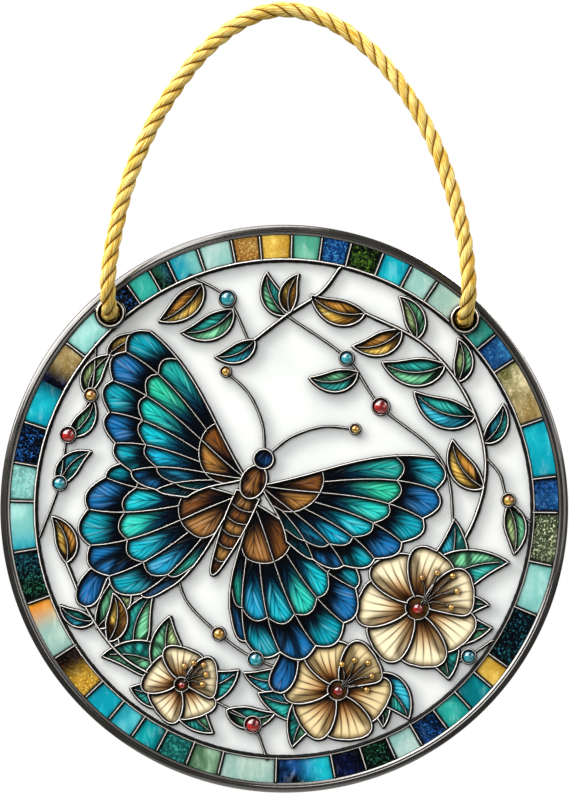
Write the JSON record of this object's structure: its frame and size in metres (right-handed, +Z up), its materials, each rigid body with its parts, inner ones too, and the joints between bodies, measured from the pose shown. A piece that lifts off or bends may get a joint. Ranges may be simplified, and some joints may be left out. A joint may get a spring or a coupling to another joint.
{
  "type": "hanging suncatcher",
  "caption": "Round acrylic suncatcher with stained-glass panes, raised lead lines and a metal rim, hung by a twisted rope through two eyelets.",
  "frame": {"origin": "the underside of the rope at its highest point, where a hook or nail carries the suncatcher", "axes": "+Z up, the panel lies in the XZ plane and its decorated front faces -Y, +X to the viewer's right"},
  "size_m": [0.2, 0.0349, 0.2787],
  "materials": {
    "acrylic": "gloss, clear acrylic with coloured film panes on its front",
    "pewter": "satin, dark pewter",
    "lead": "satin, dark patina",
    "red_glass": "polished domed glass",
    "teal_glass": "polished domed glass",
    "gold_glass": "polished domed glass",
    "rope_yarn": "matte twisted yarn"
  },
  "bodies": {
    "root": {"acrylic_panel": "acrylic", "rim_frame": "pewter", "lead_lines": "lead", "eyelet_left": "pewter", "eyelet_right": "pewter", "glass_drop_01": "red_glass", "glass_drop_02": "teal_glass", "glass_drop_03": "teal_glass", "glass_drop_04": "red_glass", "glass_drop_05": "teal_glass", "glass_drop_06": "gold_glass", "glass_drop_07": "teal_glass", "glass_drop_08": "gold_glass", "glass_drop_09": "red_glass", "glass_drop_10": "teal_glass", "glass_drop_11": "gold_glass", "hanging_rope": "rope_yarn", "rope_knot_left": "rope_yarn", "rope_knot_right": "rope_yarn"}
  },
  "joints": []
}
